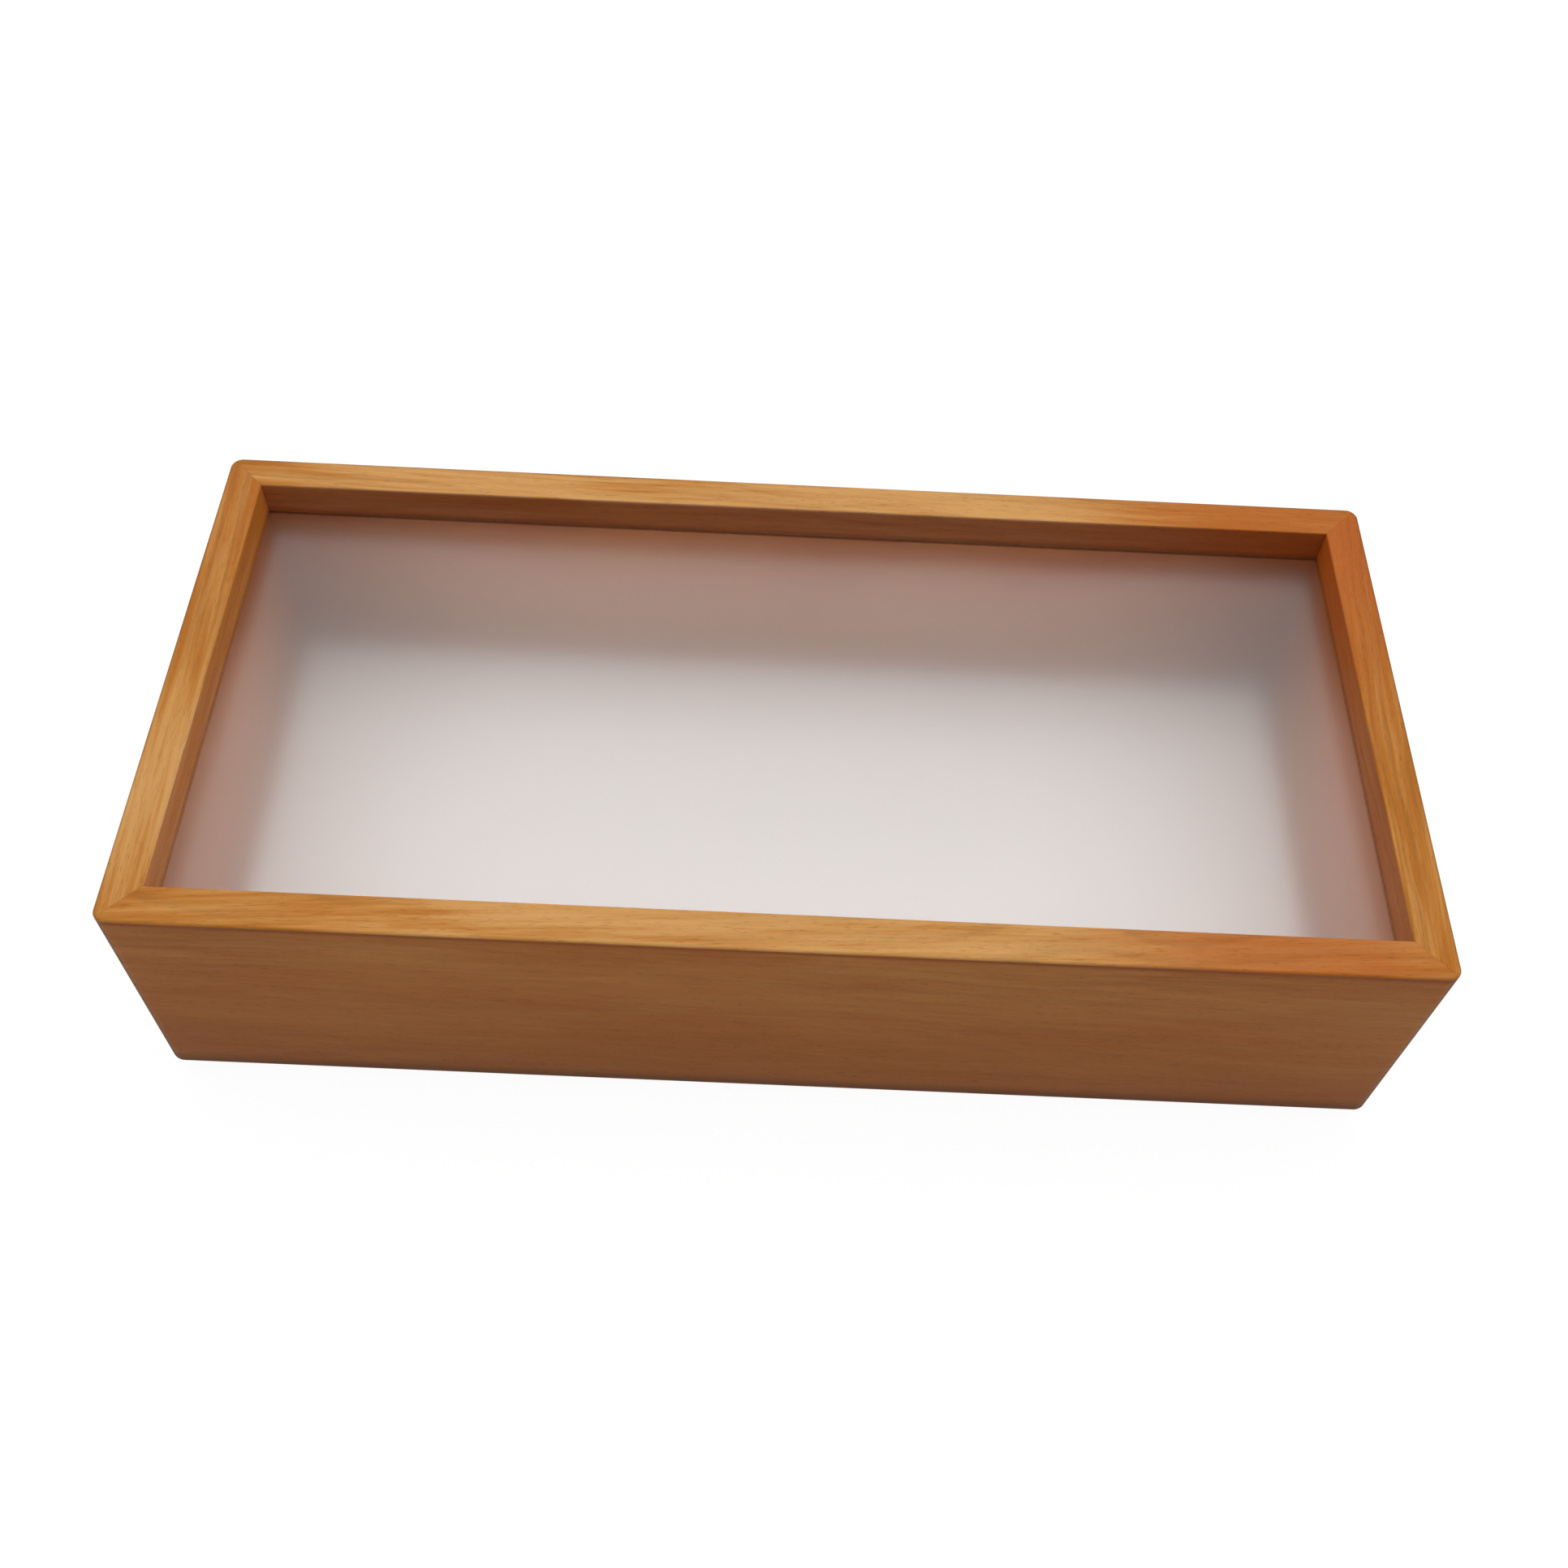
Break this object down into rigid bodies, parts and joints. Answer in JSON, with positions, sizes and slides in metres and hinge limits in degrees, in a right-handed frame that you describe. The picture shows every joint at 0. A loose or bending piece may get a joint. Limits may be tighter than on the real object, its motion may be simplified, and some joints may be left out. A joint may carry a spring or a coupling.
{
  "type": "shadow box frame",
  "caption": "Deep glazed wooden shadow box frame with mitred rails, inner spacers, a white display board and a removable back held by turn buttons.",
  "frame": {"origin": "below the middle of the frame, on the surface that the four rubber bumpers rest on when it lies on its back", "axes": "+X along the long rails, to the right seen from the front; +Y up the frame as it hangs on a wall; +Z out of the front, so the glazing faces up"},
  "size_m": [0.4, 0.19, 0.0975],
  "materials": {
    "frame_wood": "warm brown stain under satin lacquer",
    "spacer_wood": "warm brown stain, matt",
    "satin_glass": "etched satin glare-free face",
    "white_board": "matt white",
    "hardboard": "smooth hardboard",
    "steel": "bright zinc plate",
    "button_steel": "satin zinc plate",
    "hanger_steel": "satin nickel plate",
    "bumper_rubber": "matt"
  },
  "bodies": {
    "frame": {"rail_top": "frame_wood", "rail_bottom": "frame_wood", "rail_left": "frame_wood", "rail_right": "frame_wood", "spacer_top": "spacer_wood", "spacer_bottom": "spacer_wood", "spacer_left": "spacer_wood", "spacer_right": "spacer_wood", "corner_v_nails": "steel", "glazing": "satin_glass", "display_board": "white_board", "backing_board": "hardboard", "rubber_bumpers": "bumper_rubber", "turn_button_screws": "steel", "hanger_strap_left": "hanger_steel", "hanger_strap_right": "hanger_steel", "hanger_rivets": "hanger_steel"},
    "button_top_left": {"turn_button_top_left": "button_steel"},
    "button_top_right": {"turn_button_top_right": "button_steel"},
    "button_bottom_left": {"turn_button_bottom_left": "button_steel"},
    "button_bottom_right": {"turn_button_bottom_right": "button_steel"},
    "button_left": {"turn_button_left": "button_steel"},
    "button_right": {"turn_button_right": "button_steel"},
    "ring_left": {"hanger_ring_left": "hanger_steel"},
    "ring_right": {"hanger_ring_right": "hanger_steel"}
  },
  "joints": [
    {"name": "button_top_left_turn", "type": "hinge", "parent": "frame", "child": "button_top_left", "pos_m": [-0.115, 0.0895, 0.0027], "axis": [0, 0, 1], "range_deg": [-90, 90]},
    {"name": "button_top_right_turn", "type": "hinge", "parent": "frame", "child": "button_top_right", "pos_m": [0.115, 0.0895, 0.0027], "axis": [0, 0, 1], "range_deg": [-90, 90]},
    {"name": "button_bottom_left_turn", "type": "hinge", "parent": "frame", "child": "button_bottom_left", "pos_m": [-0.115, -0.0895, 0.0027], "axis": [0, 0, 1], "range_deg": [-90, 90]},
    {"name": "button_bottom_right_turn", "type": "hinge", "parent": "frame", "child": "button_bottom_right", "pos_m": [0.115, -0.0895, 0.0027], "axis": [0, 0, 1], "range_deg": [-90, 90]},
    {"name": "button_left_turn", "type": "hinge", "parent": "frame", "child": "button_left", "pos_m": [-0.1945, 0, 0.0027], "axis": [0, 0, 1], "range_deg": [-90, 90]},
    {"name": "button_right_turn", "type": "hinge", "parent": "frame", "child": "button_right", "pos_m": [0.1945, 0, 0.0027], "axis": [0, 0, 1], "range_deg": [-90, 90]},
    {"name": "ring_left_swing", "type": "hinge", "parent": "frame", "child": "ring_left", "pos_m": [-0.13, 0.053, 0.00212], "axis": [-1, 0, 0], "range_deg": [0, 170]},
    {"name": "ring_right_swing", "type": "hinge", "parent": "frame", "child": "ring_right", "pos_m": [0.13, 0.053, 0.00212], "axis": [-1, 0, 0], "range_deg": [0, 170]}
  ]
}
